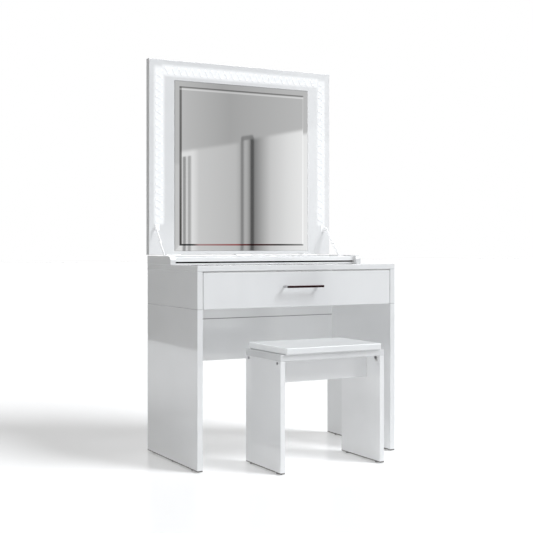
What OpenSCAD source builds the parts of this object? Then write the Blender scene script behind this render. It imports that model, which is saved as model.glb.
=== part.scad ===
// Vanity table with a fold-down mirror lid, one drawer and a loose stool.
// Frame: X to the right, -Y towards the sitter, +Z up. The origin is on the floor, at the
// middle of the ground that the table and the pulled-out stool cover together.

/* [Table] */
// Width over the two side panels
table_w = 820; // [740:1:960]
// Depth of the top, from its front edge to its back edge
table_d = 446; // [430:1:520]
// Height of the top's upper face above the floor
table_h = 707; // [680:1:760]
// Thickness of the top, the sides and the legs
board_t = 20; // [18:1:24]
// Thickness of the bottom, back and modesty boards
thin_board_t = 16; // [14:1:17]
// Rounding along the edges of the boards
edge_r = 1.2; // [0.8:0.1:2]
// Height of the case that holds the drawer
case_h = 130; // [115:1:160]
// Height of the modesty panel between the legs
modesty_h = 161; // [120:1:220]
// How far the back boards stand in front of the back edge
back_inset = 19; // [10:1:25]
// How far the back board hangs below the case
back_drop = 64; // [40:1:80]

/* [Raised tray] */
// Height of the tray's walls above the top
tray_h = 30; // [29:1:40]
// Depth of the tray's side walls, from the back edge
tray_d = 217; // [205:1:260]
// Rounding of the walls' upper front corners
tray_nose_r = 18; // [12:1:26]
// How far the front rail stands behind the ends of the walls
rail_inset = 20; // [12:1:40]
// How far the front rail's upper edge lies below the walls, so that the lamps clear it
rail_drop = 4; // [3.5:0.5:8]
// Height of the shadow groove in the front rail
groove_h = 5; // [3:0.5:7]
// Depth of the shadow groove
groove_d = 10; // [6:1:12]
// Height of the rail's lip below the groove
groove_lip = 4.5; // [3:0.5:8]

/* [Drawer] */
// Thickness of the drawer front
front_t = 18; // [16:1:20]
// Gap around the drawer front
front_gap = 3; // [2:0.5:4]
// Thickness of the drawer's sides and back
drawer_board_t = 12; // [10:1:15]
// Room above the drawer's sides
drawer_headroom = 16; // [8:1:25]
// Depth of the drawer box behind its front
drawer_box_d = 350; // [300:1:360]
// Thickness of the drawer bottom
drawer_bottom_t = 4; // [3:0.5:5]
// Length of the handle bar
handle_l = 148; // [120:1:220]
// Thickness of the handle bar, up and down and front to back
handle_t = 8; // [6:1:12]
// Clear space between the handle bar and the drawer front
handle_reach = 30; // [18:1:40]
// Height of the handle above the middle of the drawer front
handle_up = 7.5; // [0:0.5:30]
// Height of the runners' profile
runner_h = 35; // [30:1:45]

/* [Mirror lid] */
// How far the lid stands in from the table's sides
lid_inset = 8; // [4:0.5:12]
// Height of the lid when it stands up
lid_h = 745; // [600:1:800]
// Thickness of the lid's board
lid_board_t = 28; // [26:1:34]
// Distance of the mirror glass from the lid's side edges
mirror_side = 104; // [80:1:140]
// Distance of the mirror glass from the lid's upper edge
mirror_top = 76; // [68:1:120]
// Distance of the mirror glass from the lid's lower edge
mirror_foot = 14; // [10:1:60]
// Thickness of the mirror glass
mirror_t = 5; // [4:0.5:6]
// Width of the bevel around the glass
bevel_w = 24; // [10:1:30]
// Depth of the bevel at the edge of the glass
bevel_d = 1.8; // [1:0.1:2.5]

/* [Light strip] */
// Distance of the strip's middle line from the lid's side edges
strip_side = 41; // [34:1:50]
// Distance of the strip's middle line from the lid's upper edge
strip_top = 41; // [34:1:50]
// Distance of the strip's lower ends above the stays' brackets
strip_foot = 8; // [4:1:60]
// Distance from one lamp to the next along the strip
lamp_pitch = 14; // [12:1:24]
// Swing of the strip to each side of its middle line
strip_swing = 13; // [6:1:14]
// Width of the strip, measured along its run
strip_w = 8; // [7:0.5:10]
// Thickness of the strip
strip_t = 1.2; // [0.8:0.1:1.6]
// Width and height of one lamp
lamp_w = 5; // [4:0.5:6]
// How far a lamp stands out of the strip
lamp_t = 1.6; // [1:0.1:2]

/* [Lid stays] */
// Distance of both pivots from the hinge line, along the tray's walls and along the lid
stay_reach = 108; // [106:1:125]
// Distance of both pivots from the plane in which the closed lid lies on the walls
stay_stand = 9; // [8.5:0.5:11]
// Width of the stay's links
link_w = 11; // [9:0.5:12]
// Thickness of the links
link_t = 2.5; // [2:0.1:3]
// Radius of the pivot studs
stud_r = 3.4; // [2.5:0.1:4]

/* [Hinges] */
// Radius of the hinge barrels
barrel_r = 3; // [2.8:0.1:3.4]
// Radius of the hinge pins
pin_r = 1.5; // [1.2:0.1:1.8]
// Length of one hinge
hinge_l = 60; // [50:1:90]
// Thickness of the leaves
leaf_t = 1.6; // [1.2:0.1:2]
// Length of the leaves, square to the pin
leaf_l = 26; // [22:1:28]
// Distance of the outer hinges' middles from the lid's side edges
hinge_inset = 100; // [60:1:160]
// Distance of the leaves' screws from the ends of the leaves
leaf_screw_in = 8; // [6:0.5:12]
// Radius of the leaves' screws
leaf_screw_r = 1.8; // [1.5:0.1:2]

/* [Power inlet] */
// Radius of the inlet
inlet_r = 6; // [5:0.5:8]
// Depth of the inlet's pocket
inlet_l = 14; // [11:0.5:14]
// Distance of the inlet from the lid's left edge
inlet_side = 70; // [50:1:90]
// Height of the inlet above the lid's lower edge
inlet_up = 60; // [50:1:120]

/* [Stool] */
// Width of the stool
stool_w = 424; // [360:1:480]
// Depth of the stool
stool_d = 252; // [240:1:290]
// Height of the stool's frame, under the seat
stool_h = 406; // [380:1:440]
// Thickness of the stool's sides
stool_side_t = 18; // [17:1:22]
// Thickness of the board under the seat
stool_board_t = 22; // [17:1:26]
// Thickness of the seat
seat_t = 23; // [16:1:26]
// Rounding of the seat's edges
seat_r = 4; // [2:0.5:6]
// How far the seat stands in from the stool's ends
seat_inset = 18; // [8:1:30]
// How far the seat hangs over the stool's front and back
seat_overhang = 10; // [1:0.5:16]
// Height of the apron under the seat
apron_h = 83; // [50:1:120]
// How far the apron stands behind the stool's front
apron_inset = 82; // [50:1:90]
// How far the stool's sides stand out in front of the table
stool_out = 166; // [150:1:200]
// How far the stool stands to the right of the middle
stool_x = 33; // [0:1:60]
// Distance of the angle brackets from the stool's front and back
bracket_in = 22; // [18:1:40]
// Distance of the stool's glides from its front and back
stool_glide_in = 30; // [20:1:50]

/* [Small parts] */
// Height of the glides under the legs
glide_h = 3; // [2.5:0.5:8]
// Radius of the glides
glide_r = 8; // [6:0.5:8.5]
// Radius of the cam locks
cam_r = 7.5; // [6:0.5:8]
// Depth of the cam locks
cam_d = 12; // [10:0.5:13]
// Distance of the cam locks from the ends of their boards
cam_in = 34; // [26:1:45]
// Distance of the cam locks from the boards' upper and lower edges
cam_room = 40; // [30:1:50]
// Radius of the dowels
dowel_r = 4; // [3:0.5:5]
// Length of the dowels
dowel_l = 40; // [30:1:50]
// Radius of the stool's bolts
bolt_r = 3; // [2.5:0.1:3.5]

/* [Hidden] */
$fn = 48;

// Clearances
run_gap = 0.05;        // around a pin, a stud or a screw
rest_gap = 0.3;        // between the closed lid and the tray's walls
link_gap = 0.4;        // between metal parts that pass each other
slot_gap = 0.2;        // around a board in its groove
cut = 1;               // how far a cutting shape runs past a face

// Levels
top_under = table_h - board_t;
case_z = top_under - case_h;
tray_z = table_h + tray_h;
hinge_out = barrel_r + slot_gap;
lid_z = tray_z + hinge_out;
lid_top = lid_z + lid_h;

// Depths
reach = stool_out + seat_overhang;
depth = reach + table_d + hinge_out + rest_gap + lid_board_t;
front_y = reach - depth / 2;
back_y = front_y + table_d;
hinge_y = back_y + hinge_out;
lid_y = hinge_y + rest_gap;
back_board_y = back_y - back_inset - thin_board_t;
rail_y = back_y - tray_d + rail_inset;

// Half widths
side_x = table_w / 2;
inner_x = side_x - board_t;
lid_x = side_x - lid_inset;

// A rectangle with rounded corners
module outline(a, b, r) {
    translate([r, 0]) square([a - 2 * r, b]);
    translate([0, r]) square([a, b - 2 * r]);
    for (x = [r, a - r], y = [r, b - r]) translate([x, y]) circle(r);
}

// A board between two corners, with its edges eased along one direction
module eased(low, high, along, r) {
    size = high - low;
    if (along == "x")
        translate(low) rotate([90, 0, 90]) linear_extrude(size.x) outline(size.y, size.z, r);
    if (along == "y")
        translate([low.x, high.y, low.z]) rotate([90, 0, 0])
            linear_extrude(size.y) outline(size.x, size.z, r);
    if (along == "z")
        translate(low) linear_extrude(size.z) outline(size.x, size.y, r);
}

// A board with its edges eased along every direction named in ways
module board(low, high, ways = "z", r = edge_r) {
    intersection_for (way = ways) eased(low, high, way, r);
}

// A flat shape drawn in (Y, Z), with a thickness along X from x on
module plate_x(x, t) {
    translate([x, 0, 0]) rotate([90, 0, 90]) linear_extrude(t) children();
}

// A round bar along X from x on
module rod_x(x, l, y, z, r) {
    translate([x, y, z]) rotate([0, 90, 0]) cylinder(r = r, h = l);
}

// What is drawn on the right-hand side, mirrored for the left-hand side
module on_side(side) {
    mirror([side < 0 ? 1 : 0, 0, 0]) children();
}

module on_both_sides() {
    for (side = [-1, 1]) on_side(side) children();
}

// ---- Legs and case ----

leg_x = side_x - board_t / 2;
dowel_y = [for (part = [0.12, 0.5, 0.88]) front_y + part * table_d];

module leg_dowel_row(r, l) {
    for (y = dowel_y) translate([leg_x, y, case_z - l / 2]) cylinder(r = r, h = l);
}

module leg(side) {
    color("white") on_side(side) difference() {
        board([inner_x, front_y, glide_h], [side_x, back_y, case_z], "yz");
        leg_dowel_row(dowel_r + run_gap, dowel_l + 2 * slot_gap);
    }
}

module leg_dowels() {
    color("burlywood") on_both_sides() leg_dowel_row(dowel_r, dowel_l);
}

module leg_glides() {
    color("dimgray") on_both_sides() for (y = dowel_y)
        translate([leg_x, y, 0]) cylinder(r = glide_r, h = glide_h);
}

// Cam locks stand in the back faces of the back boards, near their ends, and in the
// inner faces of the case's sides, below the top
back_cam_x = inner_x - cam_in;
modesty_z = case_z - back_drop;
back_cam_z = [top_under - cam_room, case_z, modesty_z - cam_room, modesty_z - modesty_h + cam_room];
side_cam_y = [front_y + 2 * cam_in, back_board_y - cam_room];
side_cam_z = top_under - cam_room / 2;

module cam_row(r, d, past) {
    for (z = back_cam_z) translate([back_cam_x, back_board_y + thin_board_t - d, z])
        rotate([-90, 0, 0]) cylinder(r = r, h = d + past);
    for (y = side_cam_y) rod_x(inner_x - past, d + past, y, side_cam_z, r);
}

module cam_locks() {
    slot = [1.6, 9, 2];
    color("silver") on_both_sides() difference() {
        cam_row(cam_r - run_gap, cam_d, 0);
        for (z = back_cam_z)
            translate([back_cam_x - slot.y / 2, back_board_y + thin_board_t - slot.z, z - slot.x / 2])
                cube([slot.y, slot.z + cut, slot.x]);
        for (y = side_cam_y)
            translate([inner_x - cut, y - slot.y / 2, side_cam_z - slot.x / 2])
                cube([slot.z + cut, slot.y, slot.x]);
    }
}

module case_side(side) {
    color("white") on_side(side) difference() {
        board([inner_x, front_y, case_z], [side_x, back_y, top_under], "yz");
        leg_dowel_row(dowel_r + run_gap, dowel_l + 2 * slot_gap);
        cam_row(cam_r, cam_d + slot_gap, cut);
    }
}

module case_bottom() {
    color("white") board([-inner_x, front_y + front_t + cut, case_z],
        [inner_x, back_board_y, case_z + thin_board_t], "x");
}

module back_board() {
    color("white") difference() {
        board([-inner_x, back_board_y, case_z - back_drop],
            [inner_x, back_board_y + thin_board_t, top_under], "x");
        on_both_sides() cam_row(cam_r, cam_d + slot_gap, cut);
    }
}

module modesty_panel() {
    color("white") difference() {
        board([-inner_x, back_board_y, modesty_z - modesty_h],
            [inner_x, back_board_y + thin_board_t, modesty_z], "x");
        on_both_sides() cam_row(cam_r, cam_d + slot_gap, cut);
    }
}

module table_top() {
    color("white") board([-side_x, front_y, top_under], [side_x, back_y, table_h], "xy");
}

// ---- Raised tray behind the sitter's part of the top ----

module tray_wall(side) {
    color("white") on_side(side) plate_x(inner_x, board_t) translate([back_y - tray_d, table_h])
        intersection() {
            square([tray_d, tray_h]);
            union() {
                square([tray_d, tray_h - tray_nose_r]);
                translate([tray_nose_r, 0]) square([tray_d - tray_nose_r, tray_h]);
                translate([tray_nose_r, tray_h - tray_nose_r]) circle(tray_nose_r);
            }
        }
}

module tray_front_rail() {
    color("white") difference() {
        board([-inner_x, rail_y, table_h], [inner_x, rail_y + board_t, tray_z - rail_drop], "x");
        translate([-inner_x - cut, rail_y - cut, table_h + groove_lip])
            cube([2 * (inner_x + cut), groove_d + cut, groove_h]);
    }
}

module tray_groove_strip() {
    strip = 2;
    color("black") translate([-inner_x, rail_y + groove_d - strip, table_h + groove_lip])
        cube([2 * inner_x, strip, groove_h]);
}

module tray_back_rail() {
    color("white")
        board([-inner_x, back_y - thin_board_t, table_h], [inner_x, back_y, tray_z], "x");
}

// ---- Hinges between the tray's back rail and the lid ----

hinge_x = [for (i = [-1, 0, 1]) i * (lid_x - hinge_inset)];
knuckle_l = hinge_l / 3 - link_gap;
knuckle_room = barrel_r + 0.6;
leaf_screw_x = [-1, 1] * (hinge_l / 2 - leaf_screw_in);
fixed_screw_z = tray_z - (knuckle_room + leaf_l) / 2;
lid_screw_y = lid_y + lid_board_t / 2;

module pin_bore() {
    rod_x(-hinge_l, 2 * hinge_l, hinge_y, tray_z, pin_r + run_gap);
}

module hinge_leaves_fixed() {
    color("silver") for (x = hinge_x) translate([x, 0, 0]) difference() {
        union() {
            translate([-hinge_l / 2, back_y, tray_z - leaf_l])
                cube([hinge_l, leaf_t, leaf_l - knuckle_room]);
            on_both_sides() {
                translate([hinge_l / 2 - knuckle_l, back_y, tray_z - leaf_l])
                    cube([knuckle_l, leaf_t, leaf_l]);
                rod_x(hinge_l / 2 - knuckle_l, knuckle_l, hinge_y, tray_z, barrel_r);
            }
        }
        pin_bore();
        for (sx = leaf_screw_x) translate([sx, back_y - cut, fixed_screw_z])
            rotate([-90, 0, 0]) cylinder(r = leaf_screw_r + slot_gap, h = leaf_t + 2 * cut);
    }
}

module hinge_pins() {
    color("gray") for (x = hinge_x) rod_x(x - hinge_l / 2, hinge_l, hinge_y, tray_z, pin_r);
}

// A screw along +Z from the leaf's face: its shank in the board, its low head on the leaf
module leaf_screw(l) {
    head_t = leaf_screw_r / 2;
    cylinder(r = leaf_screw_r, h = l);
    translate([0, 0, -head_t])
        cylinder(r1 = 1.2 * leaf_screw_r, r2 = 1.9 * leaf_screw_r, h = head_t);
}

module hinge_screws_fixed() {
    color("silver") for (x = hinge_x, sx = leaf_screw_x)
        translate([x + sx, back_y + leaf_t, fixed_screw_z]) rotate([90, 0, 0])
            leaf_screw(0.75 * thin_board_t);
}

module hinge_leaves_lid() {
    color("silver") for (x = hinge_x) translate([x, 0, 0]) difference() {
        union() {
            translate([-hinge_l / 2, hinge_y + knuckle_room, lid_z - leaf_t])
                cube([hinge_l, leaf_l - knuckle_room, leaf_t]);
            translate([-knuckle_l / 2, hinge_y, lid_z - leaf_t]) cube([knuckle_l, leaf_l, leaf_t]);
            rod_x(-knuckle_l / 2, knuckle_l, hinge_y, tray_z, barrel_r);
        }
        pin_bore();
        for (sx = leaf_screw_x) translate([sx, lid_screw_y, lid_z - leaf_t - cut])
            cylinder(r = leaf_screw_r + slot_gap, h = leaf_t + 2 * cut);
    }
}

module hinge_screws_lid() {
    color("silver") for (x = hinge_x, sx = leaf_screw_x)
        translate([x + sx, lid_screw_y, lid_z - leaf_t]) leaf_screw(lid_board_t);
}

// ---- Lid ----

inlet_x = -lid_x + inlet_side;
inlet_z = lid_z + inlet_up;
glass_w = 2 * (lid_x - mirror_side);
glass_h = lid_h - mirror_top - mirror_foot;
glass_z = lid_z + mirror_foot + glass_h / 2;

// The inlet's pocket in the lid's back, or what stands in it
module inlet_bar(r, l, past) {
    translate([inlet_x, lid_y + lid_board_t + past, inlet_z]) rotate([90, 0, 0])
        cylinder(r = r, h = l + past);
}

module lid_board() {
    color("white") difference() {
        board([-lid_x, lid_y, lid_z], [lid_x, lid_y + lid_board_t, lid_top], "xz");
        inlet_bar(inlet_r, inlet_l - rest_gap, cut);
        translate([-glass_w / 2 - slot_gap, lid_y - cut, glass_z - glass_h / 2 - slot_gap])
            cube([glass_w + 2 * slot_gap, mirror_t + cut, glass_h + 2 * slot_gap]);
    }
}

module power_inlet() {
    socket_r = 2.8;
    socket_l = 9;
    color("black") difference() {
        inlet_bar(inlet_r - run_gap, inlet_l - 2 * rest_gap, 0);
        difference() {
            inlet_bar(socket_r, socket_l, cut);
            inlet_bar(socket_r / 3, socket_l + cut, 0);
        }
    }
}

// What the bevel takes off along the lower edge of the glass, l long, where the edge lies
// at z = -half and the glass's face at y = 0
module bevel_cut(l, half) {
    translate([-l / 2, 0, -half]) rotate([90, 0, 90]) linear_extrude(l) polygon([
        [bevel_d * (1 + cut / bevel_w), -cut], [0, bevel_w], [-cut, bevel_w], [-cut, -cut]]);
}

module mirror_glass() {
    color("lightgray") translate([0, lid_y, glass_z]) difference() {
        translate([-glass_w / 2, 0, -glass_h / 2]) cube([glass_w, mirror_t, glass_h]);
        for (turn = [0, 180]) rotate([0, turn, 0]) bevel_cut(glass_w + 2 * cut, glass_h / 2);
        for (turn = [90, 270]) rotate([0, turn, 0]) bevel_cut(glass_h + 2 * cut, glass_w / 2);
    }
}

// ---- Light strip: a bendable strip laid in zigzags, with a lamp at each turn ----

stay_foot_h = 24;
strip_x = lid_x - strip_side;
strip_z = tray_z + stay_reach + stay_foot_h / 2 + strip_foot + strip_w / 2;
strip_top_z = lid_top - strip_top;
side_lamps = floor((strip_top_z - strip_z) / lamp_pitch);
top_lamps = floor(2 * (strip_x - strip_swing - strip_w) / lamp_pitch);
top_strip_x = -top_lamps * lamp_pitch / 2;

function swing(i) = i % 2 == 0 ? strip_swing : -strip_swing;

// Middle of lamp i, as [along, across]
function lamp_at(i) = [i * lamp_pitch, swing(i) * (1 - lamp_w / 2 / strip_swing)];

// The strip's outline through n turns, drawn in (along, across)
module zigzag(n) {
    half = [strip_w / 2, 0];
    for (i = [0:n - 1]) {
        a = [i * lamp_pitch, swing(i)];
        b = [(i + 1) * lamp_pitch, swing(i + 1)];
        polygon([a - half, a + half, b + half, b - half]);
    }
}

module strip_side(side) {
    color("whitesmoke") on_side(side) translate([strip_x, lid_y, strip_z]) rotate([90, 0, 0])
        linear_extrude(strip_t) mirror([1, -1]) zigzag(side_lamps);
}

module light_strip_top() {
    color("whitesmoke") translate([top_strip_x, lid_y, strip_top_z]) rotate([90, 0, 0])
        linear_extrude(strip_t) zigzag(top_lamps);
}

module lamp(x, z) {
    translate([x - lamp_w / 2, lid_y - strip_t - lamp_t, z - lamp_w / 2])
        cube([lamp_w, lamp_t, lamp_w]);
}

module lamps() {
    color("white") {
        on_both_sides() for (i = [0:side_lamps])
            lamp(strip_x + lamp_at(i).y, strip_z + lamp_at(i).x);
        for (i = [0:top_lamps]) lamp(top_strip_x + lamp_at(i).x, strip_top_z + lamp_at(i).y);
    }
}

// ---- Lid stays: two links each, one on the tray's wall and one on the lid ----
// The stay is straight when the lid is up. When the lid is down both pivots meet, and both
// links lie flat on each other.

bracket_t = 2;
rivet_t = 1.2;
rivet_r = 4.5;
collar_r = 5.5;
stay_gap = 4.2;        // between the stays and the brackets on the walls
wall_pivot = [hinge_y - stay_reach, tray_z - stay_stand];
lid_pivot = [hinge_y - stay_stand, tray_z + stay_reach];
stay_run = lid_pivot - wall_pivot;
stay_angle = atan2(stay_run.y, stay_run.x);
link_l = norm(stay_run) / 2;
lower_x = inner_x - bracket_t - stay_gap - link_t;
upper_x = lower_x - link_gap - link_t;
ear_x = upper_x - link_gap - bracket_t;

// A link from its pivot to the elbow, with a rivet's head at the elbow
module link(pivot, angle, x, rivet_x) {
    plate_x(x, link_t) translate(pivot) rotate(angle) difference() {
        union() {
            translate([0, -link_w / 2]) square([link_l, link_w]);
            circle(link_w / 2);
            translate([link_l, 0]) circle(link_w / 2);
        }
        circle(stud_r + run_gap);
    }
    elbow = pivot + link_l * [cos(angle), sin(angle)];
    rod_x(rivet_x, rivet_t, elbow.x, elbow.y, rivet_r);
}

module stay_lower(side) {
    color("silver") on_side(side) link(wall_pivot, stay_angle, lower_x, lower_x + link_t);
}

module stay_upper(side) {
    color("silver") on_side(side) link(lid_pivot, stay_angle + 180, upper_x, upper_x - rivet_t);
}

module stay_brackets_fixed() {
    plate_l = 36;
    plate_foot = 6;
    color("silver") on_both_sides() {
        translate([inner_x - bracket_t, wall_pivot.x - plate_l / 2, table_h + plate_foot])
            cube([bracket_t, plate_l, tray_h - plate_foot - 0.5]);
        collar_x = lower_x + link_t + link_gap;
        rod_x(collar_x, inner_x - bracket_t - collar_x, wall_pivot.x, wall_pivot.y, collar_r);
        rod_x(lower_x, inner_x - bracket_t - lower_x, wall_pivot.x, wall_pivot.y, stud_r);
    }
}

module stay_brackets_lid() {
    foot_w = 18;
    ear_r = 6.5;
    color("silver") on_both_sides() {
        translate([ear_x + bracket_t - foot_w, lid_y - bracket_t, lid_pivot.y - stay_foot_h / 2])
            cube([foot_w, bracket_t, stay_foot_h]);
        plate_x(ear_x, bracket_t) {
            translate(lid_pivot) circle(ear_r);
            translate([lid_pivot.x, lid_pivot.y - ear_r]) square([lid_y - lid_pivot.x, 2 * ear_r]);
        }
        rod_x(ear_x, upper_x + link_t - ear_x, lid_pivot.x, lid_pivot.y, stud_r);
    }
}

// ---- Drawer ----

drawer_lift = 3;
runner_t = 12.7;
groove_in = 5;
front_h = case_h - front_gap;
front_back_y = front_y + front_t;
box_x = inner_x - runner_t;
box_in_x = box_x - drawer_board_t;
box_back_y = front_back_y + drawer_box_d;
box_z = case_z + thin_board_t + drawer_lift;
box_h = case_h - thin_board_t - drawer_lift - drawer_headroom;
bottom_z = box_z + 8;
handle_z = case_z + case_h / 2 + handle_up;
post_x = handle_l / 2 - handle_t / 2;
screw_r = 2;

// The groove that holds the drawer bottom's edges
module bottom_groove() {
    translate([-box_in_x - groove_in, front_back_y - groove_in, bottom_z - slot_gap / 2])
        cube([2 * (box_in_x + groove_in), drawer_box_d + groove_in + cut, drawer_bottom_t + slot_gap]);
}

module drawer_front() {
    front_x = inner_x - front_gap;
    color("white") difference() {
        board([-front_x, front_y, case_z], [front_x, front_back_y, case_z + front_h], "xz");
        bottom_groove();
        on_both_sides() translate([post_x, front_back_y + cut, handle_z]) rotate([90, 0, 0])
            cylinder(r = screw_r + slot_gap, h = front_t + 2 * cut);
    }
}

module drawer_side(side) {
    color("white") on_side(side) difference() {
        board([box_in_x, front_back_y, box_z], [box_x, box_back_y, box_z + box_h], "y");
        bottom_groove();
    }
}

module drawer_back() {
    low_z = bottom_z + drawer_bottom_t + slot_gap / 2;
    color("white") board([-box_in_x, box_back_y - drawer_board_t, low_z],
        [box_in_x, box_back_y, box_z + box_h], "x");
}

module drawer_bottom() {
    edge_x = box_in_x + groove_in - slot_gap;
    color("gainsboro") translate([-edge_x, front_back_y - groove_in + slot_gap, bottom_z])
        cube([2 * edge_x, drawer_box_d + groove_in - slot_gap, drawer_bottom_t]);
}

module handle_bar() {
    y = front_y - handle_reach - handle_t;
    color("darkgray") board([-handle_l / 2, y, handle_z - handle_t / 2],
        [handle_l / 2, y + handle_t, handle_z + handle_t / 2], "x", handle_t / 4);
}

module handle_posts() {
    color("darkgray") on_both_sides() difference() {
        translate([post_x, front_y, handle_z]) rotate([90, 0, 0])
            cylinder(r = handle_t / 2, h = handle_reach);
        translate([post_x, front_y + cut, handle_z]) rotate([90, 0, 0])
            cylinder(r = screw_r + run_gap, h = handle_reach / 2 + cut);
    }
}

module handle_screws() {
    head_r = 4;
    head_t = 2;
    color("silver") on_both_sides() translate([post_x, front_back_y, handle_z]) {
        rotate([90, 0, 0]) cylinder(r = screw_r, h = front_t + handle_reach / 2 - 1);
        rotate([-90, 0, 0]) cylinder(r = head_r, h = head_t);
    }
}

// ---- Runners: three channels on each side, one within the other ----

runner_z = box_z + box_h / 2;
runner_wall = 1.2;
runner_play = 0.4;
runner_y = front_back_y + 4;
runner_l = drawer_box_d - 8;

// A channel of height h, drawn in (X, Z): its web stands from web_x on, and its flanges
// run from web_x to tip_x
module channel(web_x, tip_x, h) {
    low_x = min(web_x, tip_x);
    color("silver") on_both_sides() translate([inner_x, runner_y + runner_l, runner_z])
        rotate([90, 0, 0]) linear_extrude(runner_l) mirror([1, 0]) {
            translate([web_x < tip_x ? web_x : web_x - runner_wall, -h / 2])
                square([runner_wall, h]);
            for (z = [-h / 2, h / 2 - runner_wall])
                translate([low_x, z]) square([abs(tip_x - web_x), runner_wall]);
        }
}

module runners_outer() { channel(0, 8.5, runner_h); }

module runners_middle() { channel(2.6, 9.8, runner_h - 2 * (runner_wall + runner_play)); }

module runners_inner() { channel(runner_t, 5.2, runner_h - 4 * (runner_wall + runner_play)); }

// ---- Stool ----

stool_front_y = front_y - stool_out;
stool_back_y = stool_front_y + stool_d;
stool_inner_x = stool_w / 2 - stool_side_t;
stool_board_z = stool_h - stool_board_t;
apron_t = 16;
bracket_w = 14;
bracket_l = 22;
bracket_y = [stool_front_y + bracket_in, stool_back_y - bracket_in];
bolt_z = stool_board_z - 8;

module stool_side(side) {
    color("white") translate([stool_x, 0, 0]) on_side(side)
        board([stool_inner_x, stool_front_y, glide_h],
            [stool_w / 2, stool_back_y, stool_board_z], "yz");
}

module stool_board() {
    color("white") translate([stool_x, 0, 0])
        board([-stool_w / 2, stool_front_y, stool_board_z],
            [stool_w / 2, stool_back_y, stool_h], "xy");
}

module stool_seat() {
    seat_x = stool_w / 2 - seat_inset;
    color("white") translate([stool_x, 0, 0])
        board([-seat_x, stool_front_y - seat_overhang, stool_h],
            [seat_x, stool_back_y + seat_overhang, stool_h + seat_t], "xyz", seat_r);
}

module stool_apron() {
    y = stool_front_y + apron_inset;
    color("white") translate([stool_x, 0, 0])
        board([-stool_inner_x, y, stool_board_z - apron_h],
            [stool_inner_x, y + apron_t, stool_board_z], "x");
}

module stool_brackets() {
    color("silver") translate([stool_x, 0, 0]) on_both_sides() for (y = bracket_y) {
        translate([stool_inner_x - bracket_t, y - bracket_w / 2, stool_board_z - bracket_l])
            cube([bracket_t, bracket_w, bracket_l]);
        translate([stool_inner_x - bracket_l, y - bracket_w / 2, stool_board_z - bracket_t])
            cube([bracket_l, bracket_w, bracket_t]);
    }
}

// Bolts through the sides into the brackets, with flat heads outside and nuts inside
module stool_bolts() {
    head_t = 1.4;
    nut_t = 4;
    color("gray") translate([stool_x, 0, 0]) on_both_sides() for (y = bracket_y) {
        rod_x(stool_inner_x - bracket_t - nut_t, stool_side_t + bracket_t + nut_t + cut,
            y, bolt_z, bolt_r);
        rod_x(stool_w / 2, head_t, y, bolt_z, bolt_r + 2);
        rod_x(stool_inner_x - bracket_t - nut_t, nut_t, y, bolt_z, bolt_r + 2);
    }
}

module stool_glides() {
    color("dimgray") translate([stool_x, 0, 0]) on_both_sides()
        for (y = [stool_front_y + stool_glide_in, stool_back_y - stool_glide_in])
            translate([stool_w / 2 - stool_side_t / 2, y, 0]) cylinder(r = glide_r, h = glide_h);
}

leg(-1);  // leg_left
leg(1);  // leg_right
leg_dowels();
leg_glides();
case_side(-1);  // case_side_left
case_side(1);  // case_side_right
case_bottom();
back_board();
modesty_panel();
cam_locks();
table_top();
tray_wall(-1);  // tray_wall_left
tray_wall(1);  // tray_wall_right
tray_front_rail();
tray_groove_strip();
tray_back_rail();
hinge_leaves_fixed();
hinge_pins();
hinge_screws_fixed();
stay_brackets_fixed();
runners_outer();
runners_middle();
runners_inner();
drawer_front();
drawer_side(-1);  // drawer_side_left
drawer_side(1);  // drawer_side_right
drawer_back();
drawer_bottom();
handle_bar();
handle_posts();
handle_screws();
lid_board();
mirror_glass();
strip_side(-1);  // light_strip_left
light_strip_top();
strip_side(1);  // light_strip_right
lamps();
power_inlet();
hinge_leaves_lid();
hinge_screws_lid();
stay_brackets_lid();
stay_lower(-1);  // stay_lower_left
stay_lower(1);  // stay_lower_right
stay_upper(-1);  // stay_upper_left
stay_upper(1);  // stay_upper_right
stool_side(-1);  // stool_side_left
stool_side(1);  // stool_side_right
stool_board();
stool_seat();
stool_apron();
stool_brackets();
stool_bolts();
stool_glides();
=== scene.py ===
from math import radians

import bpy
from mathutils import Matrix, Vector


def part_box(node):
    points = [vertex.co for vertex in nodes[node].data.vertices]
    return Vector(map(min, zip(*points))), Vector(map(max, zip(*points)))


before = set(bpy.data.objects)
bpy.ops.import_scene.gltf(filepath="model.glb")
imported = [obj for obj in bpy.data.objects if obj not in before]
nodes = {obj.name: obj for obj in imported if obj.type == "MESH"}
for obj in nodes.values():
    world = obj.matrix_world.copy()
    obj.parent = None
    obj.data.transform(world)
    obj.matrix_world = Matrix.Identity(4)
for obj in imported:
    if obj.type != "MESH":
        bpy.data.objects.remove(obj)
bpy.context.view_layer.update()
scene = bpy.context.scene


# ---- Legs, case, top and tray ------------------------------------------------------------
# Particle boards pressed between sheets of white gloss laminate, their edges banded in the
# same white. The boards meet in open hairline joints. The legs stand under the case, the top
# lies on it, and the tray's walls and rails are glued on the top's back half.

class Socket:
    """What comes out of a finish's node. Sums on it add Math nodes."""

    def __init__(self, finish, socket):
        self.finish = finish
        self.socket = socket

    def math(self, operation, a, b=0.0):
        return self.finish.node("ShaderNodeMath", {"operation": operation}, {0: a, 1: b})

    def __add__(self, other):
        return self.math("ADD", self, other)

    def __sub__(self, other):
        return self.math("SUBTRACT", self, other)

    def __rsub__(self, other):
        return self.math("SUBTRACT", other, self)

    def __mul__(self, other):
        return self.math("MULTIPLY", self, other)

    def __truediv__(self, other):
        return self.math("DIVIDE", self, other)

    def __abs__(self):
        return self.math("ABSOLUTE", self)

    def __or__(self, other):
        """The larger of two."""
        return self.math("MAXIMUM", self, other)

    __radd__ = __add__
    __rmul__ = __mul__


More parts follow.
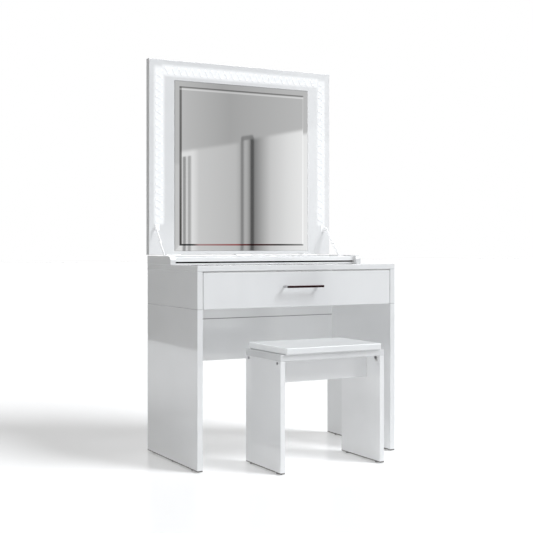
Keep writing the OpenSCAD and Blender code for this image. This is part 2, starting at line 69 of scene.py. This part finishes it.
class Finish:
    """A finish being made: a material and the nodes that are added to it."""

    def __init__(self, name):
        self.material = bpy.data.materials.new(name)
        self.material.use_nodes = True
        self.tree = self.material.node_tree
        self.tree.nodes.clear()

    def node(self, kind, settings=None, sockets=None, out=0):
        """Adds a node, sets it up, fills its sockets, and returns its output named out."""
        made = self.tree.nodes.new(kind)
        for name, value in (settings or {}).items():
            if name == "stops":
                ramp = made.color_ramp
                while len(ramp.elements) < len(value):
                    ramp.elements.new(0.5)
                for element, (place, tone) in zip(ramp.elements, value):
                    element.position = place
                    element.color = (tone, tone, tone, 1) if isinstance(tone, float) else (*tone, 1)
            else:
                setattr(made, name, value)
        for name, value in (sockets or {}).items():
            if isinstance(value, Socket):
                self.tree.links.new(value.socket, made.inputs[name])
            else:
                made.inputs[name].default_value = value
        return Socket(self, made.outputs[out]) if made.outputs else None

    def place(self):
        """The point on the piece, in metres in the set's own frame."""
        return self.node("ShaderNodeTexCoord", out="Object")

    def axes(self):
        """The point's X, Y and Z as three sockets."""
        split = self.node("ShaderNodeSeparateXYZ", sockets={"Vector": self.place()})
        return [Socket(self, output) for output in split.socket.node.outputs]

    def noise(self, scale, detail=2.0, stretch=(1, 1, 1)):
        """Cloudy variation from 0 to 1, with lumps about 1 / scale metres wide."""
        placed = self.node("ShaderNodeMapping", sockets={"Vector": self.place(), "Scale": stretch})
        return self.node("ShaderNodeTexNoise", sockets={
            "Vector": placed, "Scale": scale, "Detail": detail}, out="Fac")

    def step(self, value, start, end):
        """0 below start, 1 above end, smooth between them."""
        return self.node("ShaderNodeMapRange", {"interpolation_type": "SMOOTHSTEP"},
                         {"Value": value, "From Min": start, "From Max": end}, out="Result")

    def blend(self, factor, a, b):
        """Colour a where factor is 0, colour b where it is 1."""
        return self.node("ShaderNodeMix", {"data_type": "RGBA"},
                         {0: factor, 6: a if isinstance(a, Socket) else (*a, 1),
                          7: b if isinstance(b, Socket) else (*b, 1)}, out=2)

    def bump(self, height, depth):
        """Relief of the given depth in metres."""
        return self.node("ShaderNodeBump", sockets={"Height": height, "Distance": depth})

    def surface(self, **sockets):
        """Ends the finish in a plain surface shader and returns its material."""
        named = {name.replace("_", " "): (*value, 1) if isinstance(value, tuple) else value
                 for name, value in sockets.items()}
        shader = self.node("ShaderNodeBsdfPrincipled", sockets=named)
        return self.output(shader)

    def output(self, shader):
        """Ends the finish in a shader and returns its material."""
        self.node("ShaderNodeOutputMaterial", sockets={"Surface": shader})
        return self.material


def paint(material, *names):
    """Gives the named CAD pieces a finish."""
    for name in names:
        piece = nodes[name]
        piece.data.materials.clear()
        piece.data.materials.append(material)


def scaled(tone, share):
    """The colour made darker or lighter by a share."""
    return tuple(share * part for part in tone)


def clouded(finish, white):
    """Laminate's white, with faint clouds in it."""
    return finish.blend(finish.step(finish.noise(4.0, 3.0), 0.3, 0.7), scaled(white, 0.97), white)


def gloss_laminate(name, white, joints=(), gloss=1.0, front=1.0):
    """White laminate: faint clouds in its tone and duller patches in its gloss.
    A hairline shows at each (height, darkness) in joints, and a painted contact shade darkens
    the lower edge by the floor. The stool seat's front face can be painted a shade darker, by
    front: painted shade."""
    finish = Finish(name)
    _, y, z = finish.axes()
    marks = finish.noise(9.0, 1.0)
    tone = clouded(finish, white)
    for height, darkness in joints:
        hairline = finish.step(abs(z - height), 0.002, 0.001)
        tone = finish.blend(darkness * hairline, tone, (0.1, 0.1, 0.1))
    # Painted shade: the front face of the stool's seat is made a shade darker than its top and
    # sides.
    if front < 1.0:
        band = finish.step(y, seat_front + 0.004, seat_front + 0.002)
        tone = finish.blend(band, tone, scaled(white, front))
    # Painted contact shade: the lowest few millimetres above the glides are made near-black, for
    # the shade under the legs.
    painted_contact_shade = finish.step(z, glide_h + 0.005, glide_h + 0.0035)
    tone = finish.blend(painted_contact_shade, tone, (0.025, 0.022, 0.018))
    return finish.surface(
        Base_Color=tone, Roughness=0.18 + 0.04 * marks,
        Specular_IOR_Level=0.1,
        Coat_Weight=gloss, Coat_Roughness=0.05, Coat_IOR=2.1)


glide_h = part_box("leg_glides")[1].z
case_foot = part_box("case_side_left")[0].z
top_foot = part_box("table_top")[0].z
panel_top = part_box("modesty_panel")[1].z
seat_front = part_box("stool_seat")[0].y
laminate = (0.555, 0.564, 0.574)
body_white = gloss_laminate("body white", laminate, joints=((case_foot, 0.38), (top_foot, 0.14)))
paint(body_white, "leg_left", "leg_right", "case_side_left", "case_side_right", "case_bottom",
      "table_top", "tray_wall_left", "tray_wall_right", "tray_back_rail")
# Painted light: the kneehole's back boards use a lighter copy of the laminate, standing in for
# light reaching the recess.
paint(gloss_laminate("panel white", (0.69, 0.7, 0.71), joints=((panel_top, 0.8),)),
      "back_board", "modesty_panel")
groove_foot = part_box("tray_groove_strip")[0].z
# Painted light: the tray's front rail uses a lighter copy of the laminate. The dark hairline at the
# groove's foot is painted shade.
paint(gloss_laminate("rail white", (0.68, 0.69, 0.7), joints=((groove_foot, 0.9),)),
      "tray_front_rail")


# ---- Dowels, cam locks and glides --------------------------------------------------------
# Turned beech dowels between legs and case, cast zinc cams in the back boards and under the
# top, and moulded nylon glides nailed under the legs and the stool.

def beech(name):
    finish = Finish(name)
    rings = finish.noise(90.0, 3.0, stretch=(1, 1, 0.08))
    flecks = finish.noise(900.0, 2.0, stretch=(1, 1, 0.15))
    tone = finish.blend(rings, (0.55, 0.37, 0.2), (0.74, 0.56, 0.36))
    return finish.surface(
        Base_Color=finish.blend(finish.step(flecks, 0.62, 0.75), tone, (0.42, 0.26, 0.13)),
        Roughness=0.55 + 0.15 * rings, Normal=finish.bump(flecks, 0.0002))


def zinc(name, tone, rough, grain):
    """Plated steel: a fine brushed grain along the given stretch, with dull patches."""
    finish = Finish(name)
    lines = finish.noise(260.0, 3.0, stretch=grain)
    patches = finish.noise(30.0, 3.0)
    return finish.surface(
        Base_Color=finish.blend(patches, scaled(tone, 0.86), tone), Metallic=1.0,
        Roughness=rough + 0.14 * lines, Normal=finish.bump(lines, 0.0001))


def nylon(name, tone):
    finish = Finish(name)
    grain = finish.noise(700.0, 2.0)
    cloud = finish.noise(60.0, 2.0)
    return finish.surface(Base_Color=finish.blend(cloud, tone, scaled(tone, 1.15)),
                          Roughness=0.5 + 0.12 * grain, Normal=finish.bump(grain, 0.0002))


paint(beech("beech dowel"), "leg_dowels")
cast_zinc = zinc("cast zinc", (0.62, 0.62, 0.61), 0.38, (1, 1, 1))
paint(cast_zinc, "cam_locks")
paint(nylon("grey nylon", (0.09, 0.09, 0.092)), "leg_glides", "stool_glides")


# ---- Strip in the tray's front groove ----------------------------------------------------
# A near-black strip pressed into the groove of the front rail. Its black is painted shadow, a
# dark sheet standing in for the shade inside the groove.

def shadow_strip_finish(name, tone):
    finish = Finish(name)
    cells = finish.noise(1200.0, 2.0)
    return finish.surface(
        Base_Color=finish.blend(cells, tone, scaled(tone, 1.6)),
        Roughness=0.9 + 0.1 * cells, Specular_IOR_Level=0.0, Normal=finish.bump(cells, 0.0002))


paint(shadow_strip_finish("black painted shadow", (0.001, 0.001, 0.001)), "tray_groove_strip")


# ---- Drawer ------------------------------------------------------------------------------
# A laminate front on a box of thinner grey-white boards, with a hardboard bottom in their
# grooves. The front is screwed on through the box, and is the same white as the case.

front_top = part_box("drawer_front")[1].z
paint(gloss_laminate("front white", laminate, joints=((front_top, 1.0),)), "drawer_front")


def linen_board(name, tone):
    """Matt paper-faced board with a faint woven print."""
    finish = Finish(name)
    warp = finish.noise(420.0, 1.0, stretch=(1, 0.06, 1))
    weft = finish.noise(420.0, 1.0, stretch=(0.06, 1, 1))
    weave = 0.5 * warp + 0.5 * weft
    return finish.surface(Base_Color=finish.blend(weave, tone, scaled(tone, 1.12)),
                          Roughness=0.45 + 0.1 * warp, Normal=finish.bump(warp + weft, 0.0001))


paint(linen_board("drawer board", (0.66, 0.66, 0.65)),
      "drawer_side_left", "drawer_side_right", "drawer_back", "drawer_bottom")


# ---- Runners -----------------------------------------------------------------------------
# Three rolled steel channels on each side that slide within each other, zinc plated.

runner_zinc = zinc("runner zinc", (0.66, 0.67, 0.69), 0.26, (1, 0.05, 1))
paint(runner_zinc, "runners_outer", "runners_middle", "runners_inner")


# ---- Handle ------------------------------------------------------------------------------
# A polished bar on two posts, screwed on from inside the drawer front. Its near-black brown
# colour is painted reflection, standing in for the polished metal mirroring a dark room.

def painted_reflection_plating(name):
    finish = Finish(name)
    smears = finish.noise(60.0, 3.0, stretch=(0.3, 1, 1))
    # Painted reflection: the near-black brown tone stands in for the polished bar mirroring a dark
    # room.
    tone = finish.blend(smears, (0.02, 0.006, 0.007), (0.034, 0.013, 0.014))
    return finish.surface(Base_Color=tone, Metallic=1.0, Roughness=0.12 + 0.06 * smears)


paint(painted_reflection_plating("painted dark reflection"), "handle_bar")
paint(zinc("post steel", (0.5, 0.5, 0.5), 0.2, (1, 1, 1)), "handle_posts")
paint(cast_zinc, "handle_screws")


# ---- Hinges and lid stays ----------------------------------------------------------------
# Zinc plated butt hinges with loose pins between the tray and the lid. The lid's stays are
# pale lacquered steel links and brackets, which fold at a riveted elbow.

hinge_zinc = zinc("hinge zinc", (0.7, 0.7, 0.7), 0.28, (0.06, 1, 1))
paint(hinge_zinc, "hinge_leaves_fixed", "hinge_leaves_lid", "hinge_pins",
      "hinge_screws_fixed", "hinge_screws_lid")


def lacquer(name, tone):
    finish = Finish(name)
    orange_peel = finish.noise(500.0, 2.0)
    cloud = finish.noise(25.0, 2.0)
    return finish.surface(Base_Color=finish.blend(cloud, scaled(tone, 0.95), tone),
                          Roughness=0.3 + 0.08 * cloud, Normal=finish.bump(orange_peel, 0.00005))


paint(lacquer("pale lacquer", (0.8, 0.81, 0.82)),
      "stay_brackets_fixed", "stay_brackets_lid",
      "stay_lower_left", "stay_lower_right", "stay_upper_left", "stay_upper_right")


# ---- Mirror lid --------------------------------------------------------------------------
# One thick gloss board. The glass is let into its front, and the light strip lies on it. The soft
# band of light on both sides of the strip's run is painted glow in the board's emission, more
# painted light spills near the foot and the right side, and the board's sides are painted shade.

strips = [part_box("light_strip_" + place) for place in ("left", "top", "right")]
glow_in = 0.0115
glow_out = 0.028
fade = 0.02
lid_low, lid_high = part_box("lid_board")


def lit_board(name, white):
    """The lid's laminate, with a painted glow along the strip's run, painted light near its foot
    and right side, and painted shade on its sides.
    """
    finish = Finish(name)
    x, y, z = finish.axes()
    marks = finish.noise(9.0, 1.0)
    # Painted glow: bands of emission on the board along each strip, standing in for the light the
    # strip throws.
    bands = []
    for low, high in strips:
        middle = (low + high) / 2
        upright = high.z - low.z > high.x - low.x
        across, along, start, end = ((x - middle.x, z, low.z, high.z) if upright else
                                     (z - middle.z, x, low.x, high.x))
        band = finish.step(abs(across), glow_out, glow_in)
        band = band * finish.step(along, start - fade, start) * finish.step(along, end + fade, end)
        bands.append(band)
    lit = bands[0] | bands[1] | bands[2]
    # Painted light: more emission near the lid's foot and towards its right side.
    foot = finish.step(z, lid_low.z + 0.18, lid_low.z + 0.03)
    right = finish.step(x, -0.05, lid_high.x)
    facing = finish.step(y, lid_low.y + 0.006, lid_low.y + 0.002)
    painted_spill_light = 0.3 * foot | 0.34 * right
    # Painted shade: the lid's side faces are made a shade darker than its front.
    side = finish.step(abs(x), lid_high.x - 0.0006, lid_high.x - 0.0002)
    tone = finish.blend(side, clouded(finish, white), scaled(white, 0.84))
    return finish.surface(
        Base_Color=tone,
        Roughness=0.18 + 0.04 * marks, Specular_IOR_Level=0.1,
        Coat_Weight=1.0, Coat_Roughness=0.04, Coat_IOR=1.95, Emission_Strength=1.0,
        Emission_Color=finish.blend(facing * (lit | painted_spill_light), (0, 0, 0), (0.265, 0.268, 0.27)))


paint(lit_board("lit lid white", laminate), "lid_board")


# ---- Mirror glass ------------------------------------------------------------------------
# Silvered glass glued to the lid. A wide flat bevel is ground on its four sides. Thin lines
# along the bevel's inner edge are painted into the colour: painted shade on the left and top, a
# painted red-brown reflection along the foot, and painted highlights on the top and the right.
# A darker rim along the outer edge is painted shade too.

glass_low, glass_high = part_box("mirror_glass")
bevel_w = 0.024
line_w = 0.0105


def silvered_glass(name):
    finish = Finish(name)
    x, _, z = finish.axes()
    sides = {"left": x - glass_low.x - bevel_w, "right": (glass_high.x - bevel_w) - x,
             "top": (glass_high.z - bevel_w) - z, "foot": z - glass_low.z - bevel_w}

    def line(place, width, shift=0.0):
        """1 on a line along one side of the flat middle, shift within its edge."""
        near = finish.step(abs(sides[place] - shift), width / 2, width / 2 - 0.001)
        for other in sides:
            if other != place:
                near = near * finish.step(sides[other], -0.003, -0.002)
        return near

    def rim(place, width):
        return finish.step(sides[place], width - bevel_w, 0.5 * width - bevel_w)

    low_down = finish.step(z, glass_high.z, glass_low.z)
    # Painted shade: a dark line along the left and top of the flat middle, darker lower down.
    dark = (0.7 + 0.25 * low_down) * line("left", line_w, 0.002) | 0.58 * line("top", 0.6 * line_w)
    # Painted reflection: a red-brown line along the foot, its tones given by the ramp below.
    painted_foot_reflection = line("foot", 0.7 * line_w)
    # Painted highlight: bright emission lines along the top and the right of the flat middle.
    painted_highlight = 0.9 * line("top", 0.007, 0.008) | (0.4 + 0.6 * low_down) * line("right", 0.005)
    # Painted shade: a darker rim along the glass's outer edge.
    painted_rim_shade = rim("left", 0.005) | 0.8 * rim("top", 0.003) | 0.6 * rim("foot", 0.003)
    cloud = finish.noise(3.0, 1.0)
    silver = finish.blend(cloud, (0.93, 0.935, 0.935), (0.95, 0.955, 0.955))
    tone = finish.blend(dark, silver, (0.05, 0.048, 0.044))
    width = glass_high.x - glass_low.x - 2 * bevel_w
    tone = finish.blend(painted_foot_reflection, tone, finish.node("ShaderNodeValToRGB", {"stops": [
        (0.1, (0.07, 0.07, 0.07)), (0.15, (0.6, 0.4, 0.4)), (0.45, (0.55, 0.17, 0.17)),
        (0.55, (0.18, 0.03, 0.03)), (0.8, (0.05, 0.04, 0.04)), (1.0, (0.3, 0.3, 0.3))]},
        {"Fac": sides["left"] / width}))
    tone = finish.blend(0.5 * painted_rim_shade, tone, (0.3, 0.32, 0.32))
    bevel = finish.node("ShaderNodeNewGeometry", out="Normal")
    flat = finish.node("ShaderNodeVectorTransform", {
        "vector_type": "NORMAL", "convert_from": "OBJECT", "convert_to": "WORLD"},
        {"Vector": (0, -1, 0)})
    at_foot = 0.9 * finish.step(sides["foot"], 0.001, -0.001)
    return finish.surface(
        Base_Color=tone, Metallic=1.0, Roughness=0.015 + 0.01 * cloud, Emission_Strength=1.0,
        Emission_Color=finish.blend(painted_highlight, (0, 0, 0), (0.2, 0.2, 0.2)),
        Normal=finish.node("ShaderNodeMix", {"data_type": "VECTOR"},
                           {0: at_foot, 4: bevel, 5: flat}, out=1))


paint(silvered_glass("silvered glass"), "mirror_glass")


# ---- Light strip and lamps ---------------------------------------------------------------
# A soft strip of white silicone that bends from side to side, glued on the lid around the
# glass. A white lamp sits at each bend, and the strip around it glows.

def lit_strip(name, low, high):
    """Silicone that glows most near its bends, where the lamps sit."""
    finish = Finish(name)
    x, _, z = finish.axes()
    middle = (low + high) / 2
    across = x - middle.x if high.z - low.z > high.x - low.x else z - middle.z
    near_lamp = finish.step(abs(across), 0.003, 0.009)
    ripple = finish.noise(120.0, 1.0)
    milky = finish.blend(ripple, (0.55, 0.565, 0.58), (0.58, 0.595, 0.61))
    return finish.surface(
        Base_Color=milky, Roughness=0.35 + 0.1 * ripple, Emission_Strength=1.0,
        Emission_Color=finish.blend(near_lamp, (0.17, 0.175, 0.18), (0.2, 0.205, 0.21)))


def glow(name, tone, strength):
    finish = Finish(name)
    spots = finish.noise(120.0, 1.0)
    lit = finish.blend(spots, scaled(tone, 0.94), tone)
    return finish.surface(Base_Color=lit, Roughness=0.3 + 0.1 * spots, Emission_Color=lit,
                          Emission_Strength=strength)


for place, (low, high) in zip(("left", "top", "right"), strips):
    paint(lit_strip("lit strip " + place, low, high), "light_strip_" + place)
paint(glow("lit lamp", (0.62, 0.64, 0.65), 0.8), "lamps")


# ---- Power inlet -------------------------------------------------------------------------
# A round moulded socket for a low-voltage plug, pressed into the lid's back.

paint(nylon("black moulding", (0.015, 0.015, 0.016)), "power_inlet")


# ---- Stool -------------------------------------------------------------------------------
# Two side boards under a seat board, with an apron between them, bolted to steel angles. The
# seat is a separate slab with rounded edges, a shade whiter than the laminate of the rest.

paint(gloss_laminate("stool white", (0.595, 0.603, 0.612)),
      "stool_side_left", "stool_side_right", "stool_apron")
# Painted shade: the board under the seat uses a darker copy of the laminate, for the shadow of the
# seat's overhang.
paint(gloss_laminate("board white", (0.5, 0.508, 0.517)), "stool_board")
# front=0.8 paints the seat's front face a shade darker: painted shade.
paint(gloss_laminate("seat white", (0.7, 0.715, 0.725), gloss=0.25, front=0.8), "stool_seat")
paint(cast_zinc, "stool_brackets")
paint(zinc("bolt steel", (0.3, 0.3, 0.31), 0.3, (1, 1, 1)), "stool_bolts")


# ---- Floor, sky and lamps ----------------------------------------------------------------
# A white floor with a faint gloss and no edge in sight, under an even white sky. A wide soft
# lamp high on the front right throws the shadow; a fill from the left throws none.

class Sky(Finish):
    """The world, made with the same nodes as a finish."""

    def __init__(self, world):
        world.use_nodes = True
        self.tree = world.node_tree
        self.tree.nodes.clear()


def seen(finish):
    """1 for what the camera sees, straight, in metal or through glass."""
    path = finish.node("ShaderNodeLightPath").socket.node.outputs
    camera, glossy, through = (Socket(finish, path[name]) for name in (
        "Is Camera Ray", "Is Glossy Ray", "Is Transmission Ray"))
    return camera | glossy | through


def sheet(name, corners):
    """A flat four-sided sheet."""
    mesh = bpy.data.meshes.new(name)
    mesh.from_pydata(corners, [], [tuple(range(4))])
    made = bpy.data.objects.new(name, mesh)
    scene.collection.objects.link(made)
    return made


overhead = 0.11
world = bpy.data.worlds.new("sky")
scene.world = world
sky = Sky(world)
backdrop = sky.node("ShaderNodeBackground", sockets={
    "Color": (1, 1, 1, 1), "Strength": overhead + (1 - overhead) * seen(sky)})
sky.node("ShaderNodeOutputWorld", sockets={"Surface": backdrop})

reach = 40.0
floor = sheet("floor", [(-reach, -reach, 0), (reach, -reach, 0),
                        (reach, reach, 0), (-reach, reach, 0)])
ground = Finish("white floor")
wear = ground.noise(1.5, 2.0)
floor_gloss = ground.node("ShaderNodeBsdfPrincipled", sockets={
    "Base Color": ground.blend(wear, (0.875, 0.877, 0.88), (0.885, 0.887, 0.89)),
    "Roughness": 0.2, "Specular IOR Level": 0.06})
floor.data.materials.append(ground.output(floor_gloss))


def lamp(name, energy, spread, tone, towards, shadow):
    """A lamp so far away that its light falls the same way everywhere."""
    made = bpy.data.objects.new(name, bpy.data.lights.new(name, "SUN"))
    made.data.energy = energy
    made.data.angle = radians(spread)
    made.data.color = tone
    made.data.use_shadow = shadow
    made.rotation_euler = Vector(towards).to_track_quat("-Z", "Y").to_euler()
    scene.collection.objects.link(made)


lamp("key lamp", 3.05, 28, (0.985, 1.0, 1.02), (-0.75, 0.85, -1.0), True)
lamp("fill lamp", 2.12, 20, (1.0, 0.998, 0.99), (1.36, 0.93, -1.35), False)


# ---- Room around the set -----------------------------------------------------------------
# Two painted walls that show only in the glass, the metal and the gloss. The one in front has
# a lit bay with two pipes, a pillar and a cornice; a dim one stands behind, to the left.

def unseen(wall):
    """Leaves the wall to reflections alone."""
    wall.visible_camera = False
    wall.visible_diffuse = False
    wall.visible_shadow = False
    wall.visible_transmission = False
    wall.visible_volume_scatter = False


wall_y = -3.0
wall_half = 14
wall_h = 4
front_wall = sheet("front wall", [(-wall_half, wall_y, 0), (wall_half, wall_y, 0),
                                  (wall_half, wall_y, wall_h), (-wall_half, wall_y, wall_h)])
plaster = Finish("room plaster")
x, _, z = plaster.axes()
bay_left = 0.9
bay_right = 2.4
bay_w = bay_right - bay_left
along_bay = (x - bay_left) / bay_w


def at(place, tone):
    """A ramp's stop at a place along the bay that the glass shows."""
    return ((place - bay_left) / bay_w, tone)


lower = plaster.node("ShaderNodeValToRGB", {"stops": [
    at(1.1, 0.58), at(1.2, 0.77), at(1.3, 0.76), at(1.35, 0.6), at(1.65, 0.52), at(1.8, 0.2),
    at(1.95, 0.6), at(2.1, 0.75), at(2.25, 0.85)]}, {"Fac": along_bay})
upper = plaster.node("ShaderNodeValToRGB", {"stops": [
    at(0.9, 0.51), at(1.2, 0.52), at(1.6, 0.39), at(2.2, 0.5), at(2.4, 0.515)]},
    {"Fac": along_bay})
first_pipe = plaster.step(abs(x - 1.23), 0.02, 0.006)
second_pipe = plaster.step(abs(x - 1.27), 0.02, 0.006)
pipes = first_pipe | 0.8 * second_pipe
pillar_face = plaster.step(x, 1.7, 1.72) * plaster.step(x, 1.775, 1.735)
pillar_edge = plaster.step(abs(x - 1.705), 0.022, 0.004)
pillar_gap = plaster.step(abs(x - 1.79), 0.022, 0.008)
lower = plaster.blend(pillar_face, lower, (0.44, 0.44, 0.44))
lower = plaster.blend(0.7 * pillar_edge, lower, (0.15, 0.15, 0.15))
lower = plaster.blend(pillar_gap, lower, (0.09, 0.09, 0.09))
pillar_left = plaster.step(x, 1.69, 1.7)
pillar_right = plaster.step(x, 1.79, 1.81)
bay_end = plaster.step(x, 2.35, 2.45)
cornice = z - (1.47 + 0.18 * (x - 1.29)) - pillar_right * 0.02 * (x - 1.0) + 0.135 * bay_end
pillar = pillar_left - pillar_right
cornice = cornice - 0.03 * pillar
under_cornice = plaster.step(cornice, -0.035, -0.045)
shaded = plaster.blend(0.9 * pipes * under_cornice, lower, (0.26, 0.26, 0.26))
shaded = plaster.blend(plaster.step(cornice, -0.02, 0.02), shaded, upper)
capital = pillar * plaster.step(abs(cornice), 0.025, 0.008)
shaded = plaster.blend(0.8 * capital, shaded, (0.2, 0.2, 0.2))
front_wall.data.materials.append(plaster.output(plaster.node(
    "ShaderNodeEmission", sockets={"Color": shaded, "Strength": 1.0})))
unseen(front_wall)

back_wall_h = 3
back_wall = sheet("back wall", [(-2.227, 6.0, 0), (-2.133, 3.17, 0),
                                (-2.133, 3.17, back_wall_h), (-2.227, 6.0, back_wall_h)])
shade = Finish("room shade")
dim = shade.blend(shade.noise(0.8, 2.0), (0.035, 0.026, 0.012), (0.085, 0.073, 0.055))
back_wall.data.materials.append(shade.output(shade.node(
    "ShaderNodeEmission", sockets={"Color": dim, "Strength": 1.0})))
unseen(back_wall)


# ---- Camera ------------------------------------------------------------------------------
# Level, at the height of the tray's top, off the set's left front corner.

camera = bpy.data.objects.new("camera", bpy.data.cameras.new("camera"))
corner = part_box("leg_left")[0]
away_left = 1.51
away_front = 3.243
eye_h = 0.78
turn_right = 28.733
camera.location = (corner.x - away_left, corner.y - away_front, eye_h)
camera.rotation_euler = (radians(90), 0, radians(-turn_right))
camera.data.sensor_width = 36
camera.data.lens = 70.83
camera.data.shift_y = -0.0416
scene.collection.objects.link(camera)
scene.camera = camera
scene.view_settings.view_transform = "Standard"
